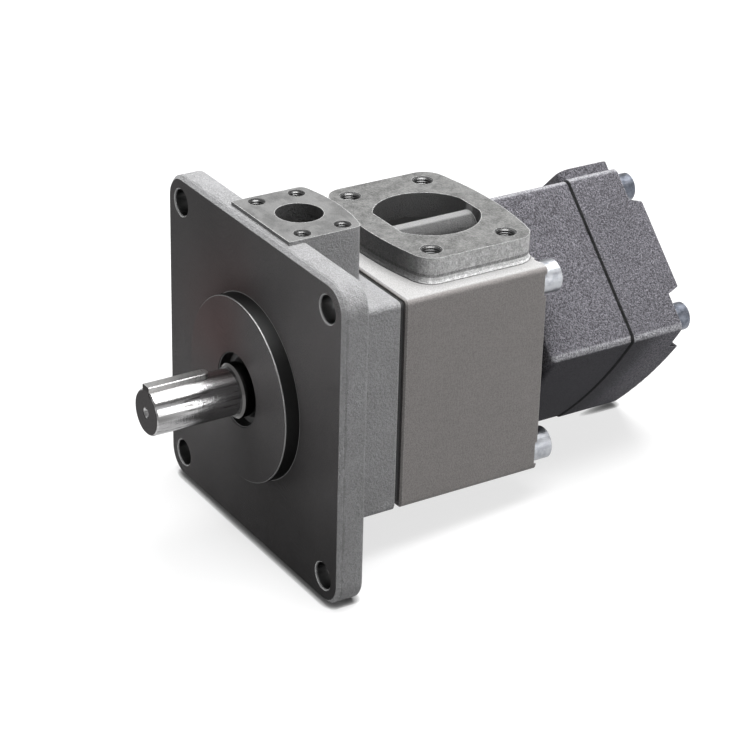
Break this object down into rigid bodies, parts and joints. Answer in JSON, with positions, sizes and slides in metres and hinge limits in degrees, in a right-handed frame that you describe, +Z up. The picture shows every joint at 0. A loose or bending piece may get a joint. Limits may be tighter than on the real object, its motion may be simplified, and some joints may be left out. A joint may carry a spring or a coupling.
{
  "type": "hydraulic vane pump",
  "caption": "Double hydraulic vane pump with a square mounting flange, a keyed drive shaft, a common suction port on top and a rear pump turned to one side.",
  "frame": {"origin": "centre of the pilot on the flange's mounting face", "axes": "-Y along the drive shaft, out of the flange; +Z up, where the suction port opens; +X to the right for someone who looks along +Y"},
  "size_m": [0.273, 0.4627, 0.2763],
  "materials": {
    "front_casting": "cast, with machined faces",
    "centre_casting": "cast, with machined faces",
    "rear_casting": "coarse sand cast",
    "shaft_steel": "ground",
    "bearing_steel": "polished",
    "cage_brass": "machined",
    "spring_steel": "oiled",
    "plate_bronze": "lapped",
    "cartridge_steel": "ground",
    "dark_screws": "blackened",
    "zinc_screws": "zinc plated",
    "seal_rubber": "matt"
  },
  "bodies": {
    "housing": {"front_body": "front_casting", "centre_body": "centre_casting", "rear_body": "rear_casting", "rear_cover": "rear_casting", "shaft_seal": "seal_rubber", "bearing_outer_ring": "bearing_steel", "bearing_snap_ring": "spring_steel", "large_front_plate": "plate_bronze", "large_rear_plate": "plate_bronze", "small_front_plate": "plate_bronze", "small_rear_plate": "plate_bronze", "large_cam_ring": "cartridge_steel", "small_cam_ring": "cartridge_steel", "large_dowels": "cartridge_steel", "small_dowels": "cartridge_steel", "large_cartridge_screws": "dark_screws", "small_cartridge_screws": "dark_screws", "rear_body_screws": "dark_screws", "rear_bush": "plate_bronze", "front_plate_seal": "seal_rubber", "body_joint_seal": "seal_rubber", "rear_joint_seal": "seal_rubber", "cover_joint_seal": "seal_rubber", "rear_plate_seal": "seal_rubber", "body_screws": "zinc_screws", "cover_screws": "zinc_screws"},
    "shaft": {"drive_shaft": "shaft_steel", "shaft_key": "shaft_steel", "bearing_inner_ring": "bearing_steel", "shaft_snap_ring": "spring_steel", "large_rotor": "cartridge_steel", "small_rotor": "cartridge_steel"},
    "ball_set": {"bearing_balls": "bearing_steel", "bearing_cage": "cage_brass"},
    "large_vane_body_01": {"large_vane_01": "cartridge_steel"},
    "large_vane_body_02": {"large_vane_02": "cartridge_steel"},
    "large_vane_body_03": {"large_vane_03": "cartridge_steel"},
    "large_vane_body_04": {"large_vane_04": "cartridge_steel"},
    "large_vane_body_05": {"large_vane_05": "cartridge_steel"},
    "large_vane_body_06": {"large_vane_06": "cartridge_steel"},
    "large_vane_body_07": {"large_vane_07": "cartridge_steel"},
    "large_vane_body_08": {"large_vane_08": "cartridge_steel"},
    "large_vane_body_09": {"large_vane_09": "cartridge_steel"},
    "large_vane_body_10": {"large_vane_10": "cartridge_steel"},
    "large_vane_body_11": {"large_vane_11": "cartridge_steel"},
    "large_vane_body_12": {"large_vane_12": "cartridge_steel"},
    "small_vane_body_01": {"small_vane_01": "cartridge_steel"},
    "small_vane_body_02": {"small_vane_02": "cartridge_steel"},
    "small_vane_body_03": {"small_vane_03": "cartridge_steel"},
    "small_vane_body_04": {"small_vane_04": "cartridge_steel"},
    "small_vane_body_05": {"small_vane_05": "cartridge_steel"},
    "small_vane_body_06": {"small_vane_06": "cartridge_steel"},
    "small_vane_body_07": {"small_vane_07": "cartridge_steel"},
    "small_vane_body_08": {"small_vane_08": "cartridge_steel"},
    "small_vane_body_09": {"small_vane_09": "cartridge_steel"},
    "small_vane_body_10": {"small_vane_10": "cartridge_steel"}
  },
  "joints": [
    {"name": "shaft_spin", "type": "hinge", "parent": "housing", "child": "shaft", "pos_m": [0, 0, 0], "axis": [0, 1, 0], "continuous": true},
    {"name": "balls_roll", "type": "hinge", "parent": "housing", "child": "ball_set", "pos_m": [0, 0.0215, 0], "axis": [0, 1, 0], "continuous": true},
    {"name": "large_vane_01_slide", "type": "slide", "parent": "shaft", "child": "large_vane_body_01", "axis": [1, 0, 0], "range_m": [-0.001, 0]},
    {"name": "large_vane_02_slide", "type": "slide", "parent": "shaft", "child": "large_vane_body_02", "axis": [0.866, 0, 0.5], "range_m": [-0.001, 0.00088]},
    {"name": "large_vane_03_slide", "type": "slide", "parent": "shaft", "child": "large_vane_body_03", "axis": [0.5, 0, 0.866], "range_m": [-0.001, 0.00263]},
    {"name": "large_vane_04_slide", "type": "slide", "parent": "shaft", "child": "large_vane_body_04", "axis": [0, 0, 1], "range_m": [-0.001, 0.0035]},
    {"name": "large_vane_05_slide", "type": "slide", "parent": "shaft", "child": "large_vane_body_05", "axis": [-0.5, 0, 0.866], "range_m": [-0.001, 0.00263]},
    {"name": "large_vane_06_slide", "type": "slide", "parent": "shaft", "child": "large_vane_body_06", "axis": [-0.866, 0, 0.5], "range_m": [-0.001, 0.00088]},
    {"name": "large_vane_07_slide", "type": "slide", "parent": "shaft", "child": "large_vane_body_07", "axis": [-1, 0, 0], "range_m": [-0.001, 0]},
    {"name": "large_vane_08_slide", "type": "slide", "parent": "shaft", "child": "large_vane_body_08", "axis": [-0.866, 0, -0.5], "range_m": [-0.001, 0.00088]},
    {"name": "large_vane_09_slide", "type": "slide", "parent": "shaft", "child": "large_vane_body_09", "axis": [-0.5, 0, -0.866], "range_m": [-0.001, 0.00263]},
    {"name": "large_vane_10_slide", "type": "slide", "parent": "shaft", "child": "large_vane_body_10", "axis": [0, 0, -1], "range_m": [-0.001, 0.0035]},
    {"name": "large_vane_11_slide", "type": "slide", "parent": "shaft", "child": "large_vane_body_11", "axis": [0.5, 0, -0.866], "range_m": [-0.001, 0.00263]},
    {"name": "large_vane_12_slide", "type": "slide", "parent": "shaft", "child": "large_vane_body_12", "axis": [0.866, 0, -0.5], "range_m": [-0.001, 0.00088]},
    {"name": "small_vane_01_slide", "type": "slide", "parent": "shaft", "child": "small_vane_body_01", "axis": [0.7071, 0, 0.7071], "range_m": [-0.001, 0]},
    {"name": "small_vane_02_slide", "type": "slide", "parent": "shaft", "child": "small_vane_body_02", "axis": [0.1564, 0, 0.9877], "range_m": [-0.001, 0.0009]},
    {"name": "small_vane_03_slide", "type": "slide", "parent": "shaft", "child": "small_vane_body_03", "axis": [-0.454, 0, 0.891], "range_m": [-0.001, 0.00235]},
    {"name": "small_vane_04_slide", "type": "slide", "parent": "shaft", "child": "small_vane_body_04", "axis": [-0.891, 0, 0.454], "range_m": [-0.001, 0.00235]},
    {"name": "small_vane_05_slide", "type": "slide", "parent": "shaft", "child": "small_vane_body_05", "axis": [-0.9877, 0, -0.1564], "range_m": [-0.001, 0.0009]},
    {"name": "small_vane_06_slide", "type": "slide", "parent": "shaft", "child": "small_vane_body_06", "axis": [-0.7071, 0, -0.7071], "range_m": [-0.001, 0]},
    {"name": "small_vane_07_slide", "type": "slide", "parent": "shaft", "child": "small_vane_body_07", "axis": [-0.1564, 0, -0.9877], "range_m": [-0.001, 0.0009]},
    {"name": "small_vane_08_slide", "type": "slide", "parent": "shaft", "child": "small_vane_body_08", "axis": [0.454, 0, -0.891], "range_m": [-0.001, 0.00235]},
    {"name": "small_vane_09_slide", "type": "slide", "parent": "shaft", "child": "small_vane_body_09", "axis": [0.891, 0, -0.454], "range_m": [-0.001, 0.00235]},
    {"name": "small_vane_10_slide", "type": "slide", "parent": "shaft", "child": "small_vane_body_10", "axis": [0.9877, 0, 0.1564], "range_m": [-0.001, 0.0009]}
  ],
  "couplings": [
    {"joint": "balls_roll", "follows": "shaft_spin", "ratio": 0.4023}
  ]
}
